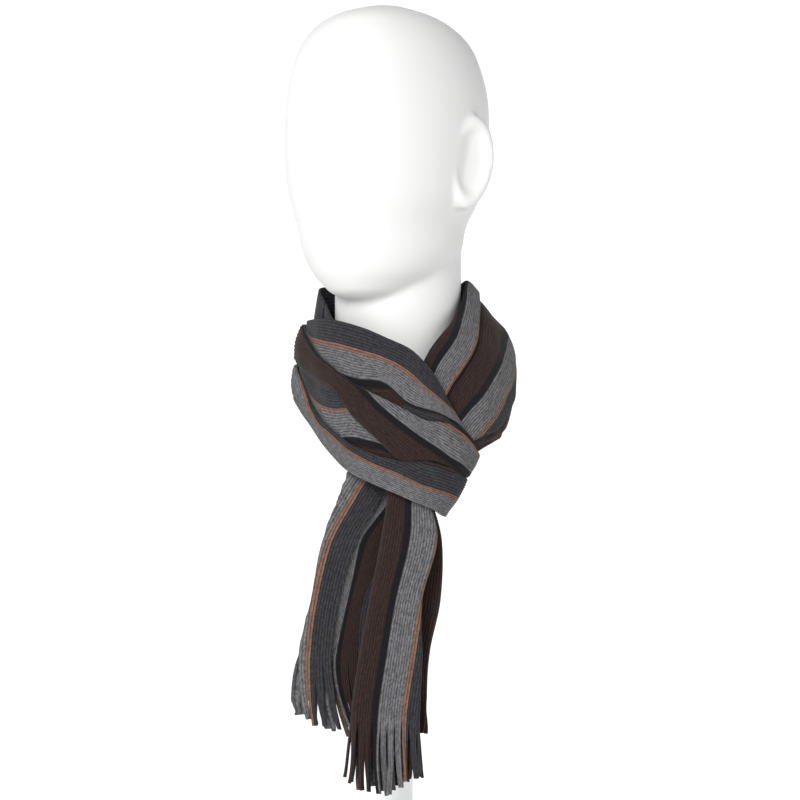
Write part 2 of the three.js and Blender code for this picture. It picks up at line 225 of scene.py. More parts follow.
def link(name: str, points: np.ndarray, faces: np.ndarray, knit: np.ndarray | None = None) -> bpy.types.Object:
    """Makes a smooth object of points in millimetres.

    Args:
        name: the object's name.
        points: its points.
        faces: its faces, as indices of points.
        knit: for each point, its place across and along the knit.

    Returns:
        The object, in the scene.
    """
    mesh = bpy.data.meshes.new(name)
    mesh.from_pydata((points * MM).tolist(), [], faces.tolist())
    mesh.polygons.foreach_set("use_smooth", np.ones(len(mesh.polygons), bool))
    if knit is not None:
        places = mesh.attributes.new("knit", "FLOAT_VECTOR", "POINT")
        places.data.foreach_set("vector", np.column_stack([knit, np.zeros(len(knit))]).astype(np.float32).ravel())
    mesh.validate()
    mesh.set_sharp_from_angle(angle=math.radians(SHARP))
    made = bpy.data.objects.new(name, mesh)
    bpy.context.scene.collection.objects.link(made)
    return made


@dataclass
class Shell:
    """A closed wall of knit round a grid of points on its middle surface.

    Args:
        middle: the grid, rows along the knit and columns across it.
        across: each column's place across the knit.
        along: each row's place along the knit.
        wall: the knit's thickness.
        relief: how far the ribs stand out.
    """

    middle: np.ndarray
    across: np.ndarray
    along: np.ndarray
    wall: float = WALL
    relief: float = RELIEF

    def normals(self) -> np.ndarray:
        """The way out of the surface at each point of the grid."""
        down = np.gradient(self.middle, axis=0)
        side = np.gradient(self.middle, axis=1)
        out = np.cross(down, side)
        return out / np.maximum(np.linalg.norm(out, axis=2, keepdims=True), 1e-9)

    def points(self) -> np.ndarray:
        """The points of the outer skin, then those of the inner one."""
        out = self.normals()
        stretch = np.linalg.norm(np.gradient(self.middle, axis=1), axis=2) / np.gradient(self.across)[None, :]
        rib = -np.cos(2 * math.pi * self.across / RIB)[None, :] * np.clip(stretch, 0, 1) * self.relief
        skins = [self.middle + out * (side * (self.wall / 2 + rib * side))[:, :, None] for side in (1.0, -1.0)]
        return np.concatenate([skin.reshape(-1, 3) for skin in skins])

    def faces(self) -> np.ndarray:
        """Faces of the two skins and of the rim between them."""
        rows, cols = self.middle.shape[:2]
        number = np.arange(rows * cols).reshape(rows, cols)
        back = number + rows * cols
        a, b, c, d = number[:-1, :-1], number[1:, :-1], number[1:, 1:], number[:-1, 1:]
        quads = [np.stack([a, b, c, d], -1), np.stack([a, d, c, b], -1) + rows * cols]
        for edge, other, turn in (
            (number[:, 0], back[:, 0], 1), (number[:, -1], back[:, -1], -1),
            (number[0], back[0], -1), (number[-1], back[-1], 1),
        ):  # fmt: skip
            rim = np.stack([edge[:-1], other[:-1], other[1:], edge[1:]], -1)
            quads.append(rim[:, ::turn])
        return np.concatenate([q.reshape(-1, 4) for q in quads])

    def knit(self) -> np.ndarray:
        """Each point's place across and along the knit."""
        across, along = np.meshgrid(self.across, self.along)
        one = np.column_stack([across.ravel(), along.ravel()])
        return np.concatenate([one, one])


@dataclass(frozen=True)
class Crease:
    """A soft trough or ridge in the knit, drawn from one place to another.

    Args:
        start: distance along the stretch and down its section where it starts.
        end: the same where it ends.
        depth: how deep it is; a ridge is less than nothing.
        width: half its width.
    """

    start: tuple[float, float]
    end: tuple[float, float]
    depth: float
    width: float

    def dip(self, along: np.ndarray, down: np.ndarray) -> np.ndarray:
        """How far the crease pushes the knit in.

        Args:
            along: distances along the knit.
            down: distances down the section.

        Returns:
            The push, for each pair.
        """
        first, way = np.array(self.start), np.array(self.end) - np.array(self.start)
        share = ((along - first[0]) * way[0] + (down - first[1]) * way[1]) / way.dot(way)
        near = np.clip(share, 0, 1)
        gap = np.hypot(along - first[0] - near * way[0], down - first[1] - near * way[1])
        fade = np.sin(math.pi * np.clip(0.12 + 0.76 * near, 0, 1))
        return self.depth * fade * np.exp(-((gap / self.width) ** 2))


LAP = ((0.1, 0.0), (0.42, 0.0), (0.5, 0.25), (0.42, 0.5), (-0.42, 0.5), (-0.5, 0.75), (-0.42, 1.0), (-0.1, 1.0))


@dataclass
class KnitBand:
    """A stretch of the scarf that winds round the neck, in long facets that lap over each other.

    Args:
        name: the piece's name.
        node: the solid that it stands for.
        rows: its sections, from the solid's table, with the knit's places at the facets' ends.
        laps: for each lap, 1 where it rises and -1 where it falls.
        flat: width and length of the knit in it, in metres; not used.
        rests_on: the nodes that carry it; not used.
        seed: number that fixes its unevenness.
        puff: how far each facet swells.
        uneven: size of its unevenness.
        creases: soft troughs and ridges.
    """

    name: str
    node: str
    rows: Table
    laps: tuple[int, ...]
    flat: tuple[float, float]
    rests_on: tuple[str, ...]
    seed: int
    puff: float = 1.4
    uneven: float = 0.7
    creases: tuple[Crease, ...] = ()

    def knots(self, row: dict[str, float], length: float) -> tuple[np.ndarray, np.ndarray]:
        """The bends of one section.

        Args:
            row: the section's values.
            length: its height down from the top edge.

        Returns:
            Its bends as distance down and out, and the place across the knit at each.
        """
        line: list[tuple[float, float]] = [(0.0, 0.0)]
        marks: dict[int, float] = {0: row["w0"]}
        if "crest" in row:
            line = list(CREST)
            marks[3] = row["crest"]
        facets = [len(line) - 1]
        level = 0.0
        starts = [row[f"lap{k + 1}"] * length for k in range(len(self.laps))] + [length]
        if "ridge" in row:
            edge = min(max(row["share1"] * length, 1.2), starts[0] - TUCK / 2 - 2.2)
            self.swell(line, (edge - 1.4, row["ridge"] * 0.85))
            line += [(edge - 0.5, row["ridge"]), (edge, 0.2 * row["ridge"]), (edge + 1.0, -0.5 * row["ridge"])]
            marks.update({len(line) - 3: row["over"], len(line) - 1: max(row["under"], row["over"] + 0.9)})
        for k, lap in enumerate(self.laps):
            rise = 2 * PLY * lap
            self.swell(line, (starts[k] - TUCK / 2, level))
            if lap > 0:
                marks[len(line) - 1] = row[f"end{k + 1}"]
            for n, (reach, lift) in enumerate(LAP):
                spread = LAP_SPREAD * (2 * n / (len(LAP) - 1) - 1)
                line.append((starts[k] + TUCK * reach + spread, level + rise * lift))
                if (lap > 0 and n == 5) or (lap < 0 and n == 2):
                    marks[len(line) - 1] = row[f"start{k + 2}"] if lap > 0 else row[f"end{k + 1}"]
            level += rise
            if lap < 0:
                line.append((starts[k] + TUCK / 2 + LAP_SPREAD, level))
                marks[len(line) - 1] = row[f"start{k + 2}"]
            facets.append(len(line) - 1)
        if "hem" in row:
            self.swell(line, (length - 1.1, level))
            line += [(length + reach, level + lift) for reach, lift in HEM]
            marks[len(line) - 4] = row["hem"]
        else:
            self.swell(line, (length, level))
        marks[len(line) - 1] = row["w1"]
        bends = np.array(line)
        gone = np.concatenate([[0], np.cumsum(np.hypot(*np.diff(bends, axis=0).T))])
        held = [(float(gone[k]), place) for k, place in marks.items()]
        for k, first in enumerate(facets):
            if f"spot{k + 1}" in row:
                last = next((n for n in sorted(marks) if n > first), len(line) - 1)
                spot = np.interp(row[f"spot{k + 1}"] * length, bends[first : last + 1, 0], gone[first : last + 1])
                held.append((float(spot), row[f"knit{k + 1}"]))
        held.sort()
        across = np.interp(gone, [place for place, _ in held], [place for _, place in held])
        drift = sum(2 * PLY * lap for lap in self.laps)
        bends[:, 1] += row["bow"] * np.sin(math.pi * bends[:, 0] / length) - drift * bends[:, 0] / length
        return bends, across

    def swell(self, line: list[tuple[float, float]], end: tuple[float, float]) -> None:
        """Adds a facet to a section, a little crowned.

        Args:
            line: the section so far.
            end: where the facet ends.
        """
        start = line[-1]
        reach = end[0] - start[0]
        crown = self.puff * min(max(reach / 20.0, 0.0), 1.0)
        for n in range(1, 6):
            t = n / 6
            line.append((start[0] + reach * t, start[1] + (end[1] - start[1]) * t + crown * math.sin(math.pi * t)))
        line.append(end)

    def shell(self) -> Shell:
        """The band's wall, with its facets, unevenness and creases."""
        places, along = self.rows.spaced(("topX", "topY", "topZ"), ("lowX", "lowY", "lowZ"), ROW_STEP)
        read = self.rows.at(places)
        low, high = sorted((float(read["w0"][0]), float(read["w1"][0])))
        across = knit_columns(low, high)
        ripple, tremble = Ripple(self.seed, 34), Ripple(self.seed + 1, 15)
        grid = []
        for k, gone in enumerate(along):
            row = {name: float(values[k]) for name, values in read.items()}
            top = np.array([row["topX"], row["topY"], row["topZ"]])
            down = np.array([row["lowX"], row["lowY"], row["lowZ"]]) - top
            length = float(np.linalg.norm(down))
            down /= length
            face = math.radians(row["face"])
            out = np.array([math.sin(face), -math.cos(face), 0.0])
            out -= down * out.dot(down)
            out /= np.linalg.norm(out)
            bends, knit = self.knots(row, length)
            if knit[0] > knit[-1]:
                bends, knit = bends[::-1], knit[::-1]
            knit = np.maximum.accumulate(knit) + 1e-6 * np.arange(len(knit))
            line = np.stack([np.interp(across, knit, bends[:, 0]), np.interp(across, knit, bends[:, 1])], 1)
            line = softened(line, 1.7)
            lift = self.uneven * ripple.at(line[:, 0], np.full(len(line), gone))
            lift += 0.3 * self.uneven * tremble.at(line[:, 0], np.full(len(line), gone))
            for crease in self.creases:
                lift -= crease.dip(np.full(len(line), gone), line[:, 0])
            grid.append(top + line[:, :1] * down + (line[:, 1:] + lift[:, None]) * out)
        middle = np.array(grid)
        if read["w0"][0] > read["w1"][0]:
            middle, across = middle[:, ::-1], across[::-1]
        return Shell(middle, across, along)

    def build(self, knit: bpy.types.Material) -> bpy.types.Object:
        """Args:
            knit: its material.

        Returns:
            The piece.
        """
        shell = self.shell()
        piece = link(self.name, shell.points(), shell.faces(), shell.knit())
        piece.data.materials.append(knit)
        dress(piece, self.node)
        return piece


def dress(piece: bpy.types.Object, node: str) -> None:
    """Lets a piece ride on the object and stand for a solid.

    Args:
        piece: the piece.
        node: the solid's name.
    """
    turned_out(piece)
    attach(piece, "root")
    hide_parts(node)


def turned_out(piece: bpy.types.Object) -> None:
    """Turns a closed mesh's faces so that they look out of it.

    Args:
        piece: the piece.
    """
    mesh = piece.data
    points = np.empty(len(mesh.vertices) * 3)
    mesh.vertices.foreach_get("co", points)
    points = points.reshape(-1, 3)
    mesh.calc_loop_triangles()
    corners = np.empty(len(mesh.loop_triangles) * 3, np.int32)
    mesh.loop_triangles.foreach_get("vertices", corners)
    a, b, c = points[corners].reshape(-1, 3, 3).transpose(1, 0, 2)
    if (a * np.cross(b, c)).sum() < 0:
        mesh.flip_normals()


LOOP_FRONT = Table(
    "topX topY topZ lowX lowY lowZ face bow lap1 lap2 lap3"
    " w0 spot1 knit1 share1 over under ridge end1 start2 spot2 knit2 end2 start3 end3 start4 spot4 knit4 w1",
    [
        (-54.0, 46, 446, -58.5, 49.5, 374, -132, 2, 0.13, 0.48, 0.7,
         0, 0.05, 5, 0.08, 8, 8, 0, 12, 116.5, 0.3, 128, 139, 139, 152, 236, 0.9, 247, KNIT_WIDTH),
        (-69.5, 25.5, 443, -74.5, 27.5, 375, -111, 3, 0.13, 0.48, 0.68,
         0, 0.05, 5, 0.08, 8, 8, 0, 12, 116.5, 0.3, 128, 139, 139, 152, 236, 0.9, 247, KNIT_WIDTH),
        (-75.8, 0, 441, -87, 0, 377, -88, 3, 0.12, 0.48, 0.65,
         0, 0.05, 5, 0.08, 8, 8, 0, 12, 116.5, 0.3, 128, 139, 139, 150, 236, 0.9, 247, KNIT_WIDTH),
        (-62.7, -38, 442, -71.3, -30, 353, -57, 3, 0.341, 0.499, 0.87,
         0, 0.186, 16.5, 0.25, 22, 22, 0, 27, 117, 0.42, 128, 139, 139, 163, 224, 0.87, 228, KNIT_WIDTH),
        (-45.8, -58, 439, -55.5, -62, 333, -40, 3, 0.398, 0.485, 0.865,
         0, 0.17, 16.5, 0.33, 35, 35, 0.3, 39, 117, 0.44, 127, 139, 141, 174, 223, 0.86, 227, KNIT_WIDTH),
        (-26.8, -70, 433, -40.5, -80, 318, -24, 3, 0.433, 0.59, 0.847,
         0, 0.156, 16.5, 0.353, 41.8, 41.8, 1.6, 47.5, 116, 0.51, 127, 139, 164.5, 187.4, 220.4, 0.856, 225, KNIT_WIDTH),
        (-6.5, -78, 424, -20.9, -90, 308, -10, 3, 0.44, 0.665, 0.834,
         0, 0.139, 16.5, 0.298, 41.8, 41.8, 2.6, 55, 104.9, 0.509, 116.5, 139, 179, 192, 218, 0.864, 225, KNIT_WIDTH),
        (11.3, -83, 415, 0, -94, 299, 0, 3, 0.448, 0.737, 0.797,
         0, 0.15, 16.5, 0.367, 41.8, 69.5, 2.2, 75.5, 98, 0.543, 114, 139, 192, 196, 214.4, 0.858, 225, KNIT_WIDTH),
        (27.4, -85, 398, 16.1, -94, 292, 8, 3, 0.407, 0.644, 0.709,
         1, 0.149, 16.5, 0.298, 41.8, 69.5, 1.8, 77.7, 91, 0.545, 114, 128.5, 195, 200, 206.1, 0.854, 225, KNIT_WIDTH),
        (43.7, -84, 369, 27.5, -91, 287, 22, 3, 0.213, 0.515, 0.598,
         14.6, 0.03, 17.5, 0.117, 41.8, 69.5, 1.3, 74, 85, 0.48, 114, 120.5, 195, 200, 204.6, 0.801, 225, KNIT_WIDTH),
        (57.5, -77, 347, 34.5, -83, 282, 48, 2, 0.11, 0.403, 0.504,
         40, 0.01, 42, 0.04, 60, 70, 0.5, 79, 85, 0.363, 111.3, 117.6, 195, 200, 206.2, 0.726, 225, KNIT_WIDTH),
        (63.5, -66, 336, 38.5, -70, 281, 88, 1, 0.12, 0.36, 0.47,
         40, 0.01, 42, 0.04, 60, 70, 0.2, 80, 86, 0.332, 111.3, 116, 195, 200, 206, 0.696, 225, KNIT_WIDTH),
        (57.0, -56.5, 338, 33, -58.5, 283, 140, 0, 0.12, 0.34, 0.45,
         40, 0.01, 42, 0.04, 60, 70, 0, 80, 86, 0.3, 111.3, 116, 195, 200, 206, 0.702, 225, KNIT_WIDTH),
    ],
)  # fmt: skip

COLLAR_OUTER = Table(
    "topX topY topZ lowX lowY lowZ face bow lap1 lap2 lap3"
    " w0 crest end1 start2 spot2 knit2 end2 start3 end3 start4 hem w1",
    [
        (-73.0, 41, 440, -86.4, 15, 371, -114, 1, 0.2, 0.5, 0.8,
         206, 194, 178, 150, 0.38, 136, 121, 100, 83, 62, 50, 44),
        (-70.0, 48.5, 442, -78, 49.5, 368, -128, 3, 0.2, 0.5, 0.8,
         206, 194, 178, 150, 0.38, 135, 121, 100, 81, 62, 50, 44),
        (-40.0, 70.5, 457, -46, 77.5, 366, -154, 5, 0.19, 0.5, 0.8,
         206, 194, 177, 150, 0.37, 134, 117, 98, 76, 62, 50, 44),
        (0.0, 74, 463, 0, 83, 365, -180, 7, 0.18, 0.5, 0.8,
         206, 193, 176, 150, 0.36, 133, 115, 97, 73, 62, 50, 44),
        (33.0, 62, 469, 39, 76, 362, -207, 10, 0.15, 0.52, 0.83,
         206, 192, 176, 147, 0.36, 126, 104, 92, 66, 62, 50, 44),
        (53.0, 36, 473, 70, 50, 357, -238, 15, 0.11, 0.57, 0.88,
         206, 189, 172, 143, 0.38, 116, 86, 82, 62, 58, 50, 44),
        (58.5, 4, 474, 83, 9, 349, -270, 23, 0.07, 0.63, 0.91,
         206, 182, 161, 139, 0.4, 110, 71, 69, 56, 55, 48, 44),
        (53.0, -29, 452, 86, -22, 345, -297, 18, 0.137, 0.78, 0.93,
         206, 186, 155.5, 139, 0.442, 113.9, 71, 68, 57, 56, 50, 44),
        (39.0, -55, 431, 79, -43, 341, -318, 13, 0.252, 0.88, 0.95,
         206, 193, 155.5, 139, 0.546, 113.9, 75, 69, 64, 62, 56, 44),
        (25.0, -71, 408, 66, -62, 334, -333, 6, 0.294, 0.85, 0.94,
         206, 194, 155.5, 139, 0.6, 113.9, 87, 76, 70, 67, 57, 44),
        (13.0, -78, 378, 43, -68, 320, -345, 2, 0.35, 0.8, 0.93,
         206, 194, 155.5, 139, 0.6, 118, 104, 103, 96, 95, 70, 44),
    ],
)  # fmt: skip

LOOP_CREASES = (
    Crease((6, 18), (48, 30), 0.9, 6),
    Crease((12, 62), (52, 50), 0.8, 5),
    Crease((95, 8), (150, 27), -0.7, 6),
    Crease((165, 8), (214, 24), 0.8, 5),
    Crease((100, 62), (142, 82), 1.0, 5),
    Crease((150, 86), (196, 60), 0.6, 6),
    Crease((228, 10), (262, 17), 0.9, 3.5),
    Crease((222, 40), (262, 33), 0.9, 4),
    Crease((214, 78), (258, 62), 0.8, 4),
)
COLLAR_CREASES = (
    Crease((8, 22), (44, 36), 0.9, 6),
    Crease((34, 18), (92, 42), 1.2, 7),
    Crease((78, 72), (130, 52), 1.1, 6),
    Crease((112, 14), (166, 28), -0.9, 6),
    Crease((148, 78), (206, 60), 1.2, 7),
    Crease((192, 26), (250, 44), 0.8, 6),
    Crease((226, 84), (284, 72), 1.0, 5),
    Crease((262, 30), (322, 48), -0.7, 5),
)

COLLAR_INNER = Table(
    "topX topY topZ lowX lowY lowZ face bow w0 w1",
    [
        (-61, 4.6, 457, -63.2, 6.6, 352, -94, 4, 86, 0),
        (-65, 25, 470, -61, 32, 360, -118, 8, 86, 0),
        (-34, 51, 470, -38, 56, 364, -147, 3, 86, 0),
        (0, 59, 471, 0, 66, 366, -180, 0, 86, 0),
        (33, 48, 470, 37, 54, 364, -213, 0, 86, 0),
        (53, 24, 466, 58, 28, 358, -246, 0, 86, 0),
        (56, -6, 458, 66, -4, 350, -274, 0, 86, 0),
        (45, -37, 440, 66, -30, 340, -306, 0, 86, 0),
        (25, -60, 414, 53, -53, 362, -333, 0, 86, 0),
        (8, -64, 376, 35, -63, 334, -345, 0, 86, 0),
    ],
)

LOOP_BACK = Table(
    "topX topY topZ lowX lowY lowZ face bow w0 w1",
    [
        (52.5, -54.9, 341, 29, -56.9, 285, 335, 0, 86, 0),
        (38, -55.2, 350, 16, -57.8, 289, 345, 0, 86, 0),
        (20, -56.6, 372, 2, -59.4, 296, 355, 0, 86, 0),
        (-4, -57.2, 408, -14, -60.4, 306, 360, 0, 86, 0),
        (-26, -51.6, 424, -32, -54.4, 318, 335, 0, 86, 0),
        (-44, -37.4, 433, -49, -38.4, 332, 308, 0, 86, 0),
        (-55, -17, 443, -60, -17, 345, 286, 0, 86, 0),
        (-60.8, 4, 456, -63, 6, 352, 266, 0, 86, 0),
    ],
)


@dataclass(frozen=True)
class Run:
    """A run of knit between two folds of a tail.

    Args:
        begin: column of the fold or edge where it begins.
        finish: column of the one where it ends.
        ply: its place, counted from the front.
    """

    begin: str
    finish: str
    ply: int


@dataclass(frozen=True)
class Fringe:
    """How the strips hang that are cut into a tail's end along its ribs.

    Args:
        node: the solid that the strips stand for.
        slit: how far under the tail's last row the cuts open.
        hang: places from left to right, how long the strips there are, and how far their tips lean
            to the right.
        count: number of strips.
    """

    node: str
    slit: float
    hang: Table
    count: int = 39


@dataclass
class KnitTail:
    """A tail that hangs in plies, with the fringe cut into its end.

    Args:
        name: the piece's name.
        node: the solid that it stands for.
        rows: its level sections, from the solid's table, with the knit's place at each fold, and where
            it shows inside a fold, its place next to the starting edge and where its second stripe ends.
        runs: its runs of knit, in order.
        flat: width and length of the knit in it, in metres; not used.
        sway: how far its plies wave together.
        seed: number that fixes its unevenness.
        fringe: its strips.
    """

    name: str
    node: str
    rows: Table
    runs: tuple[Run, ...]
    flat: tuple[float, float]
    sway: float
    seed: int
    fringe: Fringe

    def section(self, row: dict[str, float]) -> tuple[np.ndarray, np.ndarray]:
        """The plies of one level section.

        Args:
            row: the section's values.

        Returns:
            Points in plan, and the knit's place at each.
        """
        points: list[tuple[float, float]] = []
        marks: dict[int, float] = {0: 0.0}
        spans = []
        for k, run in enumerate(self.runs):
            ahead = math.copysign(1, row[run.finish] - row[run.begin])
            nexts = self.runs[k + 1].ply - run.ply if k + 1 < len(self.runs) else 0
            before = abs(run.ply - self.runs[k - 1].ply) * row["apart"] / 2 if k else 0.0
            after = abs(nexts) * row["apart"] / 2
            y = row["depth"] + run.ply * row["apart"]
            first, final = row[run.begin] + ahead * before, row[run.finish] - ahead * after
            spans.append(slice(len(points), len(points) + 9))
            points += [(first + (final - first) * t, y) for t in np.linspace(0, 1, 9)]
            if nexts:
                for n in range(1, 10):
                    turn = math.pi * n / 10
                    deeper = math.copysign(after, nexts) * (1 - math.cos(turn))
                    points.append((final + ahead * after * math.sin(turn), y + deeper))
                marks[len(points) - 5] = row[f"fold{k + 1}"]
        marks[len(points) - 1] = KNIT_WIDTH
        plan = np.array(points)
        gone = np.concatenate([[0], np.cumsum(np.hypot(*np.diff(plan, axis=0).T))])
        held = [(float(gone[k]), place) for k, place in marks.items()]
        if "near" in row:
            xs, reach = plan[spans[1], 0], gone[spans[1]]
            for column, place in (("start", row["near"]), ("far", REPEAT)):
                held.append((float(np.interp(row[column], xs, reach)), place))
        held.sort()
        at = np.unique(np.concatenate([gone, [place for place, _ in held]]))
        bends = np.stack([np.interp(at, gone, plan[:, 0]), np.interp(at, gone, plan[:, 1])], 1)
        return bends, np.interp(at, [place for place, _ in held], [place for _, place in held])

    def shell(self) -> Shell:
        """The tail's wall, its plies waving together."""
        heights = self.rows.values[:, 0]
        count = int(round((heights[0] - heights[-1]) / ROW_STEP))
        levels = np.linspace(heights[0], heights[-1], count + 1)
        read = self.rows.at(np.interp(-levels, -heights, np.arange(len(heights))))
        across = knit_columns()
        ripple, tremble = Ripple(self.seed, 60), Ripple(self.seed + 1, 24)
        grid = []
        for k, z in enumerate(levels):
            row = {name: float(values[k]) for name, values in read.items()}
            plan, knit = self.section(row)
            line = np.stack([np.interp(across, knit, plan[:, 0]), np.interp(across, knit, plan[:, 1])], 1)
            line = softened(line, 1.3)
            free = min(1.0, (levels[0] - z) / 60.0)
            wave = ripple.at(line[:, 0], np.full(len(line), 0.35 * z)) * self.sway
            wave += 0.35 * tremble.at(line[:, 0], np.full(len(line), 0.3 * z))
            line[:, 1] += free * wave
            grid.append(np.column_stack([line, np.full(len(line), z)]))
        return Shell(np.array(grid), across, levels[0] - levels)

    def strips(self, tail: Shell) -> tuple[np.ndarray, np.ndarray, np.ndarray]:
        """The fringe: strips that carry the tail's knit on, each with its own slit, length, sway and twist.

        Args:
            tail: the tail's wall.

        Returns:
            Points, faces and the knit's places of all strips.
        """
        pick = np.random.default_rng(self.seed + 9)
        last = tail.middle[-1]
        slope = (last - tail.middle[-4])[:, 0] / (tail.along[-1] - tail.along[-4])
        place, lengths, leans = self.fringe.hang.values.T
        cuts = np.linspace(0, KNIT_WIDTH, self.fringe.count + 1)
        points, faces, knit, total = [], [], [], 0
        for low, high in zip(cuts[:-1], cuts[1:]):
            across = knit_columns(low, high)
            root = np.stack([np.interp(across, tail.across, last[:, k]) for k in range(3)], 1)
            centre = root.mean(0)
            drift = 18 * float(np.interp(across.mean(), tail.across, slope))
            length = float(np.interp(centre[0], place, lengths)) + pick.normal(0, 2.2)
            slit = min(max(self.fringe.slit + pick.normal(0, 4.0), 1.5), length - 12)
            lean = float(np.interp(centre[0], place, leans)) + pick.normal(0, 1.5)
            bend, twist, phase = pick.normal(0, 1.3), pick.normal(0, 0.8), pick.uniform(0, 2 * math.pi)
            gone = np.linspace(0, length, 26)
            rows = []
            for d in gone:
                t = d / length
                free = max(d - slit, 0.0) / (length - slit)
                turn = (twist + 0.3 * math.sin(5 * free + phase)) * free
                spread = (root - centre) * (1 - 0.2 * min(free * 5, 1.0) - 0.1 * free)
                x = spread[:, 0] * math.cos(turn) - spread[:, 1] * math.sin(turn)
                y = spread[:, 0] * math.sin(turn) + spread[:, 1] * math.cos(turn)
                x += centre[0] + drift * (1 - math.exp(-d / 18)) + lean * t**1.6
                x += bend * math.sin(4 * free + phase) * free
                y += centre[1] + 1.1 * math.sin(3 * free + phase) * free
                rows.append(np.column_stack([x, y, np.full(len(x), centre[2] - d)]))
            strip = Shell(np.array(rows), across, tail.along[-1] + gone)
            points.append(strip.points())
            faces.append(strip.faces() + total)
            knit.append(strip.knit())
            total += len(points[-1])
        return np.concatenate(points), np.concatenate(faces), np.concatenate(knit)

    def build(self, knit: bpy.types.Material, fringe: bpy.types.Material) -> list[bpy.types.Object]:
        """Args:
            knit: the tail's material.
            fringe: the fringe's material.

        Returns:
            The two pieces.
        """
        shell = self.shell()
        piece = link(self.name, shell.points(), shell.faces(), shell.knit())
        piece.data.materials.append(knit)
        dress(piece, self.node)
        strips = link(self.name + "_Fringe", *self.strips(shell))
        strips.data.materials.append(fringe)
        dress(strips, self.fringe.node)
        return [piece, strips]


TAIL_LONG = Table(
    "z left right start end depth apart fold1 fold2 fold3",
    [
        (348, -1, 26, 8, 5, -85.4, 4, 92, 137, 205),
        (322, -5, 26, 6, 5, -87.0, 4.4, 92, 137, 205),
        (294, -8, 26, 4, 2, -88.1, 4.7, 92, 137, 205),
        (262, -13, 31, 6, 0, -88.4, 4.7, 88, 137, 205),
        (214, -22, 19, -4, -12, -87.5, 4.7, 87, 137, 205),
        (165, -31, 19, -10, -26, -87, 4.7, 79, 137, 205),
        (120, -37, 17, -14, -33, -86.5, 4.7, 74, 137, 205),
    ],
)
TAIL_SHORT = Table(
    "z left right start end depth apart fold1 near far fold2",
    [
        (338, -33, 22, 14, -20, -71.2, 4.4, 36, 55, 18, 131),
        (302, -48, 25, -10, -38, -71.9, 4.7, 32, 29, 14, 131),
        (261, -61, 35, -34, -52, -71.9, 4.7, 24.5, 37, -6, 131),
        (212, -71.5, 34, -48.5, -62, -71, 4.7, 23.8, 25, -28.4, 131),
        (167, -80.5, 25, -54, -71, -71, 4.7, 27, 36, -33, 131),
    ],
)


LONG_FRINGE = Fringe(
    "fringe_long", 7, Table("place length lean", [(-37, 50, -5), (-28, 57, 1), (-10, 61, 2), (5, 54, 2), (17, 48, 4)])
)
SHORT_FRINGE = Fringe(
    "fringe_short", 34,
    Table("place length lean", [(-80, 49, -1), (-66, 56, 6), (-53, 65, 15), (-30, 60, 8), (0, 58, 2), (25, 65, 1)]),
)  # fmt: skip


class Value:
    """A number socket that shader maths is written with."""

    def __init__(self, graph: "Graph", socket: bpy.types.NodeSocket) -> None:
        """Wraps a socket.

        Args:
            graph: the graph that it belongs to.
            socket: the output socket.
        """
        self.graph = graph
        self.socket = socket

    def maths(self, operation: str, *others: "Value | float") -> "Value":
        """Adds a Math node.

        Args:
            operation: the node's operation.
            others: the values after this one.

        Returns:
            The node's output.
        """
        inputs = dict(enumerate([self, *others]))
        return self.graph.value("ShaderNodeMath", {"operation": operation}, inputs)

    def __add__(self, other: "Value | float") -> "Value":
        """Sum."""
        return self.maths("ADD", other)

    def __mul__(self, other: "Value | float") -> "Value":
        """Product."""
        return self.maths("MULTIPLY", other)

    def __sub__(self, other: "Value | float") -> "Value":
        """Difference."""
        return self.maths("SUBTRACT", other)

    def __truediv__(self, other: float) -> "Value":
        """Quotient."""
        return self.maths("DIVIDE", other)

    def power(self, exponent: float) -> "Value":
        """Its power."""
        return self.maths("POWER", exponent)

    def sine(self) -> "Value":
        """Its sine."""
        return self.maths("SINE")

    def size(self) -> "Value":
        """Its distance from nothing."""
        return self.maths("ABSOLUTE")

    def floor(self) -> "Value":
        """The whole number under it."""
        return self.maths("FLOOR")

    def part(self) -> "Value":
        """What is left over the whole number under it."""
        return self.maths("FRACT")


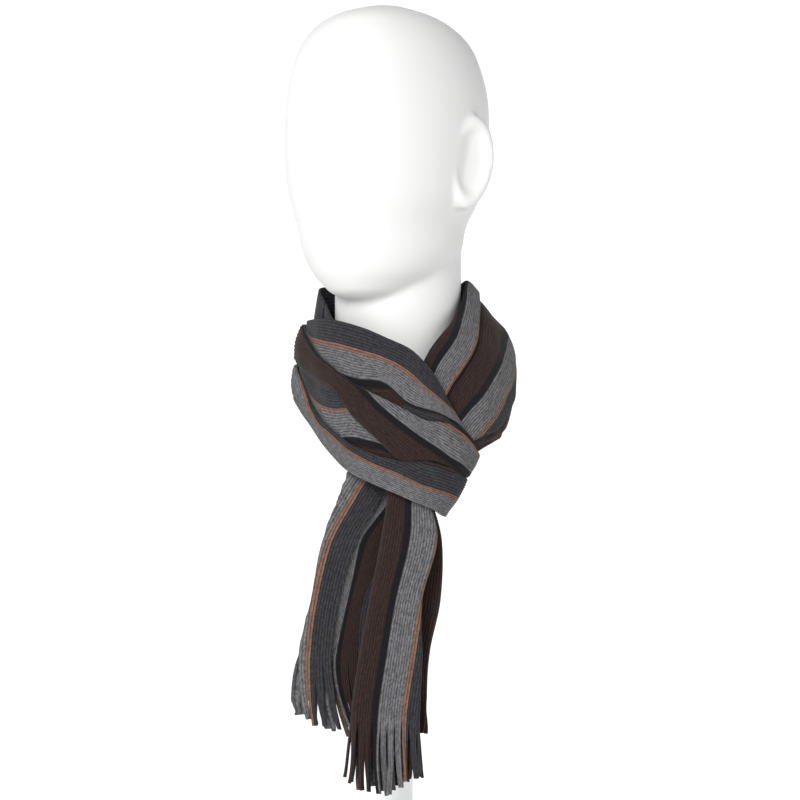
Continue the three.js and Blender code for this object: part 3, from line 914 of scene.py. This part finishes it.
class Graph:
    """A material's nodes."""

    def __init__(self, name: str) -> None:
        """Makes a material with an empty graph.

        Args:
            name: the material's name.
        """
        self.material = bpy.data.materials.new(name)
        self.material.use_nodes = True
        self.tree = self.material.node_tree
        self.tree.nodes.clear()

    def node(self, kind: str, settings: dict | None = None, inputs: dict | None = None) -> bpy.types.Node:
        """Adds a node.

        Args:
            kind: the node's type.
            settings: what is set on it first; "stops" are a ramp's places and colours.
            inputs: values or links for its sockets, by name or number.

        Returns:
            The node.
        """
        made = self.tree.nodes.new(kind)
        for key, setting in (settings or {}).items():
            if key == "stops":
                self.stops(made.color_ramp, setting)
            elif key == "interpolation":
                made.color_ramp.interpolation = setting
            else:
                setattr(made, key, setting)
        for key, given in (inputs or {}).items():
            socket = made.inputs[key]
            if isinstance(given, Value):
                self.tree.links.new(given.socket, socket)
            elif isinstance(given, bpy.types.NodeSocket):
                self.tree.links.new(given, socket)
            else:
                socket.default_value = given
        return made

    @staticmethod
    def stops(ramp: bpy.types.ColorRamp, places: Sequence[tuple[float, tuple[float, float, float]]]) -> None:
        """Fills a ramp.

        Args:
            ramp: the ramp.
            places: its places and colours.
        """
        while len(ramp.elements) > 1:
            ramp.elements.remove(ramp.elements[-1])
        ramp.elements[0].position = places[0][0]
        ramp.elements[0].color = (*places[0][1], 1.0)
        for place, colour in places[1:]:
            ramp.elements.new(place).color = (*colour, 1.0)

    def value(self, kind: str, settings: dict | None = None, inputs: dict | None = None) -> Value:
        """Adds a node and gives its first output as a value.

        Args:
            kind: the node's type.
            settings: what is set on it first.
            inputs: values or links for its sockets.

        Returns:
            The output.
        """
        return Value(self, self.node(kind, settings, inputs).outputs[0])

    def mix(self, factor: Value | float, a: object, b: object, blend: str = "MIX") -> bpy.types.NodeSocket:
        """Mixes two colours.

        Args:
            factor: how much of the second.
            a: first colour, as a socket or four numbers.
            b: second colour.
            blend: the way of mixing.

        Returns:
            The mixed colour.
        """
        made = self.node("ShaderNodeMix", {"data_type": "RGBA", "blend_type": blend}, {0: factor, 6: a, 7: b})
        return made.outputs[2]

    def finish(self, settings: dict, height: Value | None, strength: float, distance: float) -> bpy.types.Material:
        """Ends the graph in one shader.

        Args:
            settings: values or links of the shader's sockets.
            height: relief for a Bump node.
            strength: the Bump node's strength.
            distance: its distance, in metres.

        Returns:
            The material.
        """
        if height is not None:
            bump = self.node("ShaderNodeBump", None, {"Strength": strength, "Distance": distance, "Height": height})
            settings = {**settings, "Normal": bump.outputs[0]}
        shader = self.node("ShaderNodeBsdfPrincipled", None, settings)
        self.node("ShaderNodeOutputMaterial", None, {"Surface": shader.outputs[0]})
        return self.material


@dataclass(frozen=True)
class KnitFinish:
    """Fine rib knit: striped yarns with flecks, ribs and small stitches, with painted shade in the rib valleys and over
    the stitches.

    Args:
        painted_valley_shade: how much painted shade darkens the knit between its ribs.
        fuzz: how much its fibres vary in tone.
        roughness: how matt it is.
        sheen: how much light its loose fibres catch.
    """

    painted_valley_shade: float = 0.68
    fuzz: float = 0.22
    roughness: float = 0.93
    sheen: float = 0.06

    def ramp(self, light: bool) -> list[tuple[float, tuple[float, float, float]]]:
        """The stripes' tones.

        Args:
            light: true for the light fibres, false for the dark ones.

        Returns:
            Places and colours for a ramp.
        """
        starts = [0.0] + [end for _, end in STRIPES[:-1]]
        tones = [SHADES[yarn].light if light else SHADES[yarn].deep for yarn, _ in STRIPES]
        return [(start / KNIT_WIDTH, tone) for start, tone in zip(starts, tones)]

    def material(self, name: str) -> bpy.types.Material:
        """Makes the material.

        Args:
            name: its name.

        Returns:
            The material.
        """
        graph = Graph(name)
        places = graph.node("ShaderNodeAttribute", {"attribute_name": "knit"})
        split = graph.node("ShaderNodeSeparateXYZ", None, {0: places.outputs["Vector"]})
        across, along = Value(graph, split.outputs[0]), Value(graph, split.outputs[1])
        rib = across / RIB
        crest = ((rib * (2 * math.pi) - math.pi / 2).sine() * 0.5 + 0.5).power(0.6)
        loops = along / STITCH + rib.floor() * 0.5
        bend = ((rib.part() - 0.5).size() * 1.1 + loops).part()
        stitch = (bend - 0.5).size() * 2.0
        cell = graph.node("ShaderNodeCombineXYZ", None, {0: (across / (RIB / 2)).floor(), 1: loops.floor()})
        speck = graph.value("ShaderNodeTexWhiteNoise", {"noise_dimensions": "2D"}, {"Vector": cell.outputs[0]})
        stretch = graph.node("ShaderNodeCombineXYZ", None, {0: across * 0.55, 1: along * 0.16})
        streak = graph.value("ShaderNodeTexNoise", None, {"Vector": stretch.outputs[0], "Scale": 1.0, "Detail": 3.0})
        fleck = speck * 0.42 + streak * 0.7 - 0.06
        share = across / KNIT_WIDTH
        tones = [
            graph.node("ShaderNodeValToRGB", {"interpolation": "CONSTANT", "stops": self.ramp(light)}, {0: share})
            for light in (False, True)
        ]
        yarn = graph.mix(fleck, tones[0].outputs[0], tones[1].outputs[0])
        # painted shade: the colour is darkened in the valleys between the ribs and varied over each stitch
        shade = crest * self.painted_valley_shade + stitch * 0.12 + (1.04 - self.painted_valley_shade)
        fuzz = graph.value("ShaderNodeTexNoise", None, {"Scale": 900.0, "Detail": 4.0})
        tone = shade * (fuzz * self.fuzz + (1 - self.fuzz / 2))
        # this grey, multiplied into the yarn's colour, carries the painted shade together with the fibres' random tone
        grey = graph.node("ShaderNodeCombineColor", None, {0: tone, 1: tone, 2: tone})
        colour = graph.mix(1.0, yarn, grey.outputs[0], "MULTIPLY")
        height = crest * 0.55 + stitch * 0.3 + fuzz * 0.35
        return graph.finish(
            {
                "Base Color": colour,
                "Roughness": fuzz * 0.12 + (self.roughness - 0.06),
                "Sheen Weight": self.sheen,
                "Sheen Roughness": 0.5,
                "Specular IOR Level": 0.2,
            },
            height, 0.65, 0.0005,
        )  # fmt: skip


@dataclass(frozen=True)
class HeadFinish:
    """Matte white plastic with a faint unevenness from its mould.

    Args:
        tone: its colour, in linear light.
        roughness: how matt it is.
    """

    tone: tuple[float, float, float] = (0.68, 0.68, 0.675)
    roughness: float = 0.5

    def material(self, name: str) -> bpy.types.Material:
        """Makes the material.

        Args:
            name: its name.

        Returns:
            The material.
        """
        graph = Graph(name)
        cloud = graph.value("ShaderNodeTexNoise", None, {"Scale": 9.0, "Detail": 3.0})
        grain = graph.value("ShaderNodeTexNoise", None, {"Scale": 700.0, "Detail": 2.0})
        worn = tuple(0.95 * part for part in self.tone)
        colour = graph.mix(cloud, (*self.tone, 1.0), (*worn, 1.0))
        return graph.finish(
            {"Base Color": colour, "Roughness": grain * 0.12 + (self.roughness - 0.06), "Specular IOR Level": 0.4},
            grain * 0.6 + cloud * 0.4, 0.25, 0.0004,
        )  # fmt: skip


@dataclass(frozen=True)
class StandFinish:
    """White powder coat on steel, a little rubbed.

    Args:
        tone: its colour, in linear light.
        rubbed: its colour where it is rubbed.
    """

    tone: tuple[float, float, float] = (0.87, 0.875, 0.88)
    rubbed: tuple[float, float, float] = (0.80, 0.80, 0.81)

    def material(self, name: str) -> bpy.types.Material:
        """Makes the material.

        Args:
            name: its name.

        Returns:
            The material.
        """
        graph = Graph(name)
        wear = graph.value("ShaderNodeTexNoise", None, {"Scale": 14.0, "Detail": 6.0})
        peel = graph.value("ShaderNodeTexNoise", None, {"Scale": 1300.0, "Detail": 2.0})
        colour = graph.mix(wear * wear, (*self.tone, 1.0), (*self.rubbed, 1.0))
        return graph.finish(
            {"Base Color": colour, "Roughness": wear * 0.2 + 0.3, "Metallic": 0.1}, peel, 0.35, 0.0003
        )


HEAD_RINGS = Table(
    "z ahead length width",
    [
        (458.5, 42, 19, 17), (463, 39, 33, 30), (470, 33, 46, 40), (481, 27, 60, 52), (499, 22, 74, 61),
        (520, 22, 82, 63), (545, 18, 91, 72), (575, 16, 97, 75.5), (605, 14, 98, 77), (630, 13, 96.5, 75),
        (652, 13.5, 91, 70), (671, 14, 82, 62.5), (686, 15, 66, 49.5), (696, 15, 45, 33), (703, 15, 16, 12),
    ],
)  # fmt: skip


NECK_RINGS = ((341, 57), (352, 55.3), (363, 54), (374, 53.3), (385, 53), (540, 53))  # height and radius


@dataclass
class DisplayHead:
    """A smooth egg-shaped display head with a round neck and two plain ears.

    Args:
        turn: degrees that it is turned to the left of the front.
        around: points round a ring.
        rings: number of rings of its egg.
        voxel: size of the remesh that blends its forms.
        ear_place: where an ear's middle lies: to the side, back and up.
        ear_half: half its length and height.
        ear_flare: degrees that it turns out at the back.
        ear_lean: degrees that it leans back.
    """

    turn: float = 37.0
    around: int = 96
    rings: int = 85
    voxel: float = 2.3
    ear_place: tuple[float, float, float] = (74, -2, 570)
    ear_half: tuple[float, float] = (22, 40)
    ear_flare: float = 24
    ear_lean: float = 8

    def ring(self, z: float, ahead: float, length: float, width: float) -> np.ndarray:
        """A level ring of points.

        Args:
            z: its height.
            ahead: how far its centre lies ahead of the neck's axis.
            length: its half length.
            width: its half width.

        Returns:
            The points.
        """
        turn = math.radians(self.turn)
        forward = np.array([-math.sin(turn), -math.cos(turn), 0.0])
        sideways = np.array([math.cos(turn), -math.sin(turn), 0.0])
        angle = np.linspace(0, 2 * math.pi, self.around, endpoint=False)[:, None]
        centre = np.array([0, 0, z]) + forward * ahead
        return centre + forward * length * np.cos(angle) + sideways * width * np.sin(angle)

    def skin(self, name: str, rings: Sequence[np.ndarray]) -> bpy.types.Object:
        """A closed skin over rings.

        Args:
            name: the object's name.
            rings: the rings, from below.

        Returns:
            The object.
        """
        count, around = len(rings), self.around
        number = np.arange(count * around).reshape(count, around)
        nexts = np.roll(number, -1, 1)
        quads = np.stack([number[:-1], nexts[:-1], nexts[1:], number[1:]], -1).reshape(-1, 4)
        hubs = np.array([rings[0].mean(0), rings[-1].mean(0)])
        fans = [(count * around, nexts[0, k], number[0, k], number[0, k]) for k in range(around)]
        fans += [(count * around + 1, number[-1, k], nexts[-1, k], nexts[-1, k]) for k in range(around)]
        faces = [tuple(q) for q in quads.tolist()] + [f[:3] for f in fans]
        mesh = bpy.data.meshes.new(name)
        points = np.concatenate([*rings, hubs]) * MM
        mesh.from_pydata(points.tolist(), [], [[int(n) for n in face] for face in faces])
        made = bpy.data.objects.new(name, mesh)
        bpy.context.scene.collection.objects.link(made)
        turned_out(made)
        return made

    def ear(self, side: int) -> np.ndarray:
        """Rings of one ear: an egg-shaped pad with a shallow bowl behind its rim.

        Args:
            side: 1 for the right of the picture, -1 for the left.

        Returns:
            Its points, ring by ring from its root to its outer face.
        """
        turn, flare, lean = (math.radians(angle) for angle in (self.turn, self.ear_flare * side, self.ear_lean))
        (beside, behind, height), (half, tall) = self.ear_place, self.ear_half
        profile = ((-8.5, 0.5), (-7, 0.8), (-3, 0.97), (2, 1.0), (6, 0.95), (8.3, 0.86), (8.6, 0.77), (7, 0.68),
                   (4.2, 0.58), (3.0, 0.4), (2.8, 0.2))  # fmt: skip
        angle = np.linspace(0, 2 * math.pi, self.around, endpoint=False)
        rings = []
        for out, share in profile:
            pinch = 1 - 0.13 * np.clip(-np.sin(angle), 0, 1)
            local = np.column_stack([np.full(self.around, out * side), half * share * pinch * np.cos(angle) * side,
                                     tall * share * np.sin(angle)])  # fmt: skip
            y = local[:, 1] * math.cos(lean) + local[:, 2] * math.sin(lean)
            z = -local[:, 1] * math.sin(lean) + local[:, 2] * math.cos(lean)
            x = local[:, 0] * math.cos(flare) + y * math.sin(flare)
            y = -local[:, 0] * math.sin(flare) + y * math.cos(flare)
            x, y = x + beside * side, y + behind
            rings.append(np.column_stack([x * math.cos(turn) + y * math.sin(turn),
                                          -x * math.sin(turn) + y * math.cos(turn), z + height]))  # fmt: skip
        return np.array(rings)

    def build(self, finish: HeadFinish) -> bpy.types.Object:
        """Makes the head in one skin.

        Args:
            finish: its finish.

        Returns:
            The piece.
        """
        read = HEAD_RINGS.at(np.linspace(0, len(HEAD_RINGS.values) - 1, self.rings))
        egg = [self.ring(*(float(read[n][k]) for n in HEAD_RINGS.names)) for k in range(self.rings)]
        neck = [self.ring(z, 0, r, r) for z, r in NECK_RINGS]
        parts = [self.skin("Head_Form", egg), self.skin("neck", neck)]
        parts += [self.skin("ear", list(self.ear(side))) for side in (1, -1)]
        with bpy.context.temp_override(active_object=parts[0], selected_editable_objects=parts):
            bpy.ops.object.join()
        head = parts[0]
        remesh = head.modifiers.new("skin", "REMESH")
        remesh.mode, remesh.voxel_size, remesh.use_smooth_shade = "VOXEL", self.voxel * MM, True
        smooth = head.modifiers.new("smooth", "SMOOTH")
        smooth.factor, smooth.iterations = 0.5, 6
        settle(head)
        head.data.materials.append(finish.material("Head_Plastic"))
        dress(head, "head_form")
        return head


def settle(piece: bpy.types.Object) -> None:
    """Applies a piece's modifiers.

    Args:
        piece: the piece.
    """
    graph = bpy.context.evaluated_depsgraph_get()
    mesh = bpy.data.meshes.new_from_object(piece.evaluated_get(graph))
    piece.modifiers.clear()
    piece.data = mesh
    mesh.polygons.foreach_set("use_smooth", np.ones(len(mesh.polygons), bool))


@dataclass
class Stand:
    """The pole under the neck and its round base.

    Args:
        around: points round a ring.
    """

    around: int = 128

    def lathe(self, name: str, profile: Sequence[tuple[float, float]]) -> bpy.types.Object:
        """Turns a profile round the upright axis.

        Args:
            name: the object's name.
            profile: radius and height of each ring, from below.

        Returns:
            The object.
        """
        maker = DisplayHead(around=self.around)
        piece = maker.skin(name, [maker.ring(z, 0, r, r) for r, z in profile])
        piece.data.polygons.foreach_set("use_smooth", np.ones(len(piece.data.polygons), bool))
        piece.data.set_sharp_from_angle(angle=math.radians(35))
        return piece

    def build(self, finish: StandFinish) -> list[bpy.types.Object]:
        """Makes the two pieces.

        Args:
            finish: their finish.

        Returns:
            The pieces.
        """
        paint = finish.material("Stand_Paint")
        pole = self.lathe("Stand_Pole", [(12.5, 6), (12.5, 90), (12.5, 180), (12.5, 270), (12.5, 341)])
        rounded = [(98.5 + 1.5 * math.cos(a), 4.5 + 1.5 * math.sin(a)) for a in np.linspace(0, math.pi / 2, 6)]
        base = self.lathe("Stand_Base", [(60, 0), (99.6, 0), (100, 0.4), *rounded, (60, 6), (13, 6)])
        for piece, node in ((pole, "stand_pole"), (base, "stand_base")):
            piece.data.materials.append(paint)
            dress(piece, node)
        return [pole, base]


@dataclass
class Studio:
    """A white sweep, soft lights and the camera.

    Args:
        eye: where the camera stands, in metres.
        lens: its focal length, in millimetres on a 36 mm frame.
        floor: radius of the level floor, in metres.
        curve: radius of the turn from floor to backdrop, in metres.
        rim: height of the backdrop, in metres.
        paper: the sweep's two greys.
        glow: how brightly it shines by itself.
        around: points round it.
    """

    eye: tuple[float, float, float] = (0.00168, -2.2, 0.375)
    lens: float = 117.86
    floor: float = 2.9
    curve: float = 0.7
    rim: float = 1.9
    paper: tuple[float, float] = (0.25, 0.23)
    glow: float = 0.95
    around: int = 96

    def sweep(self) -> bpy.types.Object:
        """The round floor, whose rim turns up into a low backdrop on every side."""
        arc = [(self.floor + self.curve * math.sin(a), self.curve * (1 - math.cos(a)))
               for a in np.linspace(0, math.pi / 2, 16)]  # fmt: skip
        line = [(0.05, 0.0), (0.6, 0.0), (1.4, 0.0), (2.2, 0.0), *arc, (self.floor + self.curve, self.rim)]
        angle = np.linspace(0, 2 * math.pi, self.around, endpoint=False)
        circle = np.column_stack([np.cos(angle), np.sin(angle), np.zeros(self.around)])
        points = np.concatenate([circle * r + (0, 0, z) for r, z in line])
        number = np.arange(len(points)).reshape(len(line), self.around)
        nexts = np.roll(number, -1, 1)
        rims = np.stack([number[:-1], nexts[:-1], nexts[1:], number[1:]], -1).reshape(-1, 4)
        sweep = link("Sweep", points / MM, rims)
        graph = Graph("Sweep_Paper")
        cloud = graph.value("ShaderNodeTexNoise", None, {"Scale": 2.0, "Detail": 1.0})
        colour = graph.mix(cloud, *((grey, grey, grey, 1.0) for grey in self.paper))
        shine = {"Emission Color": (1.0, 1.0, 1.0, 1.0), "Emission Strength": self.glow}
        sweep.data.materials.append(graph.finish({"Base Color": colour, "Roughness": 0.9, **shine}, None, 0, 0))
        return sweep

    def lamp(self, name: str, place: tuple[float, float, float], size: float, power: float) -> None:
        """Adds a soft square light that looks at the scarf.

        Args:
            name: its name.
            place: where it hangs, in metres.
            size: its side, in metres.
            power: its power, in watts.
        """
        light = bpy.data.lights.new(name, "AREA")
        light.shape, light.size, light.energy = "SQUARE", size, power
        lamp = bpy.data.objects.new(name, light)
        lamp.location = place
        lamp.rotation_euler = (Vector((0, 0, 0.4)) - Vector(place)).to_track_quat("-Z", "Y").to_euler()
        bpy.context.scene.collection.objects.link(lamp)

    def build(self) -> None:
        """Sets up the sweep, the lights, the world and the camera."""
        self.sweep()
        self.lamp("Key", (-1.0, -2.3, 1.7), 1.0, 66)
        self.lamp("Fill", (1.7, -1.7, 1.0), 1.6, 1)
        self.lamp("Top", (-0.4, 0.2, 2.4), 1.4, 14)
        world = bpy.data.worlds.new("Studio")
        world.use_nodes = True
        back = world.node_tree.nodes["Background"]
        back.inputs[0].default_value = (1.0, 1.0, 1.0, 1.0)
        back.inputs[1].default_value = 0.1
        bpy.context.scene.world = world
        camera = bpy.data.objects.new("Camera", bpy.data.cameras.new("Camera"))
        camera.data.lens = self.lens
        camera.location = self.eye
        camera.rotation_euler = (math.pi / 2, 0, 0)
        bpy.context.scene.collection.objects.link(camera)
        bpy.context.scene.camera = camera
        bpy.context.scene.view_settings.view_transform = "Standard"


def main() -> None:
    """Builds every piece in order and reports it."""
    logging.basicConfig(level=logging.INFO, format="%(name)s %(message)s")
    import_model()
    # the fringe's knit gets weaker painted shade in its rib valleys
    knit, fringe = KnitFinish().material("Rib_Knit"), KnitFinish(painted_valley_shade=0.55).material("Rib_Fringe")
    bands = [
        KnitBand("Loop_Front", "loop_front", LOOP_FRONT, (1, -1, 1), (0.15, 0.28), ("head_form", "tail_long"), 3,
                 creases=LOOP_CREASES),
        KnitBand("Loop_Back", "loop_back", LOOP_BACK, (), (0.086, 0.17), ("head_form",), 11, uneven=0.3,
                 creases=(Crease((40, 20), (90, 34), 0.7, 6),)),
        KnitBand("Collar_Outer", "collar_outer", COLLAR_OUTER, (-1, -1, -1), (0.15, 0.42), ("head_form",), 23,
                 creases=COLLAR_CREASES),
        KnitBand("Collar_Inner", "collar_inner", COLLAR_INNER, (), (0.086, 0.34), ("head_form",), 31, uneven=0.3,
                 creases=(Crease((60, 10), (120, 40), 0.7, 8), Crease((180, 8), (240, 30), 0.7, 8))),
    ]  # fmt: skip
    made = [band.build(knit) for band in bands]
    long_runs = (Run("start", "right", 1), Run("right", "left", 0), Run("left", "right", 2), Run("right", "end", 3))
    short_runs = (Run("start", "left", 0), Run("left", "right", 1), Run("right", "end", 2))
    tails = [
        KnitTail("Tail_Long", "tail_long", TAIL_LONG, long_runs, (0.15, 0.228), 1.2, 41, LONG_FRINGE),
        KnitTail("Tail_Short", "tail_short", TAIL_SHORT, short_runs, (0.22, 0.171), 1.0, 53, SHORT_FRINGE),
    ]  # fmt: skip
    for tail in tails:
        made += tail.build(knit, fringe)
    made.append(DisplayHead().build(HeadFinish()))
    made += Stand().build(StandFinish())
    for piece in made:
        LOG.info("%s: %d faces", piece.name, len(piece.data.polygons))
    Studio().build()


if __name__ == "__main__":
    main()
